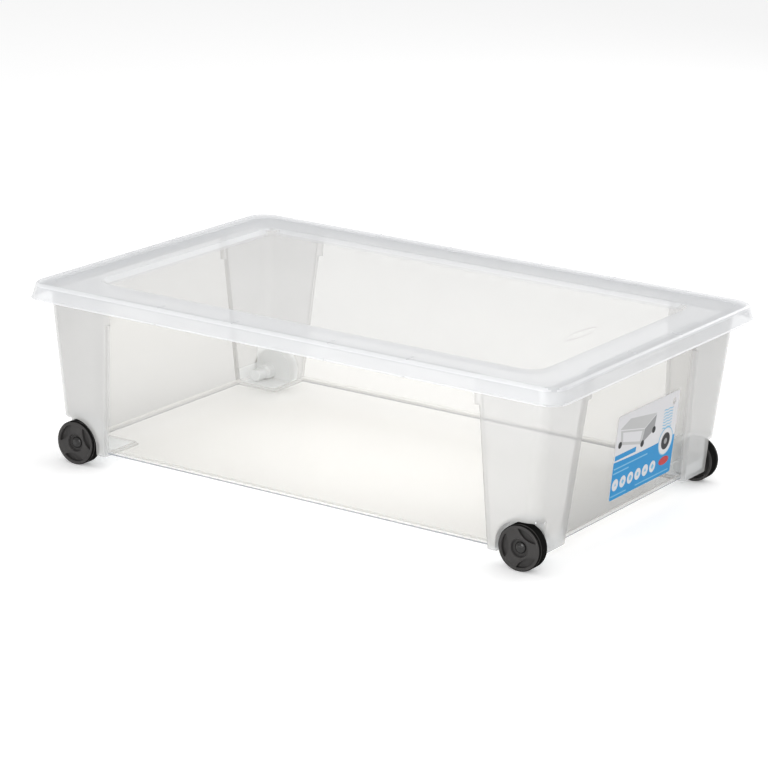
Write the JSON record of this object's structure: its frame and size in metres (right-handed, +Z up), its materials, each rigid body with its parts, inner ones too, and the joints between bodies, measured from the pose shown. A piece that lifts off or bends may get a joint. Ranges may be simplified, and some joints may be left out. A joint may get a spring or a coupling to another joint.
{
  "type": "under bed box",
  "caption": "Low rolling storage box with a tapered translucent tub, corner posts, wheels in corner wells and a lift-off lid with a sunken centre panel.",
  "frame": {"origin": "on the ground under the middle of the box", "axes": "+X along the long side towards the end with the label, +Y across the short side away from the front, +Z up"},
  "size_m": [0.6, 0.4, 0.183],
  "materials": {
    "tub_plastic": "translucent polypropylene, clear on the panels and frosted on the corner posts",
    "lid_plastic": "translucent polypropylene, faintly blue, satin",
    "wheel_plastic": "black satin moulded plastic",
    "pin_plastic": "black moulded plastic, slightly polished",
    "label_print": "printed film label, white over blue, with plain shapes and no lettering"
  },
  "bodies": {
    "tub": {"box_tub": "tub_plastic", "axle_pin_front_left": "pin_plastic", "axle_pin_front_right": "pin_plastic", "axle_pin_back_left": "pin_plastic", "axle_pin_back_right": "pin_plastic", "label": "label_print"},
    "lid": {"lid": "lid_plastic"},
    "wheel_front_left": {"wheel_front_left": "wheel_plastic"},
    "wheel_front_right": {"wheel_front_right": "wheel_plastic"},
    "wheel_back_left": {"wheel_back_left": "wheel_plastic"},
    "wheel_back_right": {"wheel_back_right": "wheel_plastic"}
  },
  "joints": [
    {"name": "lid_lift", "type": "slide", "parent": "tub", "child": "lid", "axis": [0, 0, 1], "range_m": [0, 0.25]},
    {"name": "wheel_front_left_spin", "type": "hinge", "parent": "tub", "child": "wheel_front_left", "pos_m": [-0.2539, -0.1687, 0.0221], "axis": [0, 1, 0], "continuous": true},
    {"name": "wheel_front_right_spin", "type": "hinge", "parent": "tub", "child": "wheel_front_right", "pos_m": [0.2539, -0.1687, 0.0221], "axis": [0, 1, 0], "continuous": true},
    {"name": "wheel_back_left_spin", "type": "hinge", "parent": "tub", "child": "wheel_back_left", "pos_m": [-0.2539, 0.1687, 0.0221], "axis": [0, 1, 0], "continuous": true},
    {"name": "wheel_back_right_spin", "type": "hinge", "parent": "tub", "child": "wheel_back_right", "pos_m": [0.2539, 0.1687, 0.0221], "axis": [0, 1, 0], "continuous": true}
  ]
}
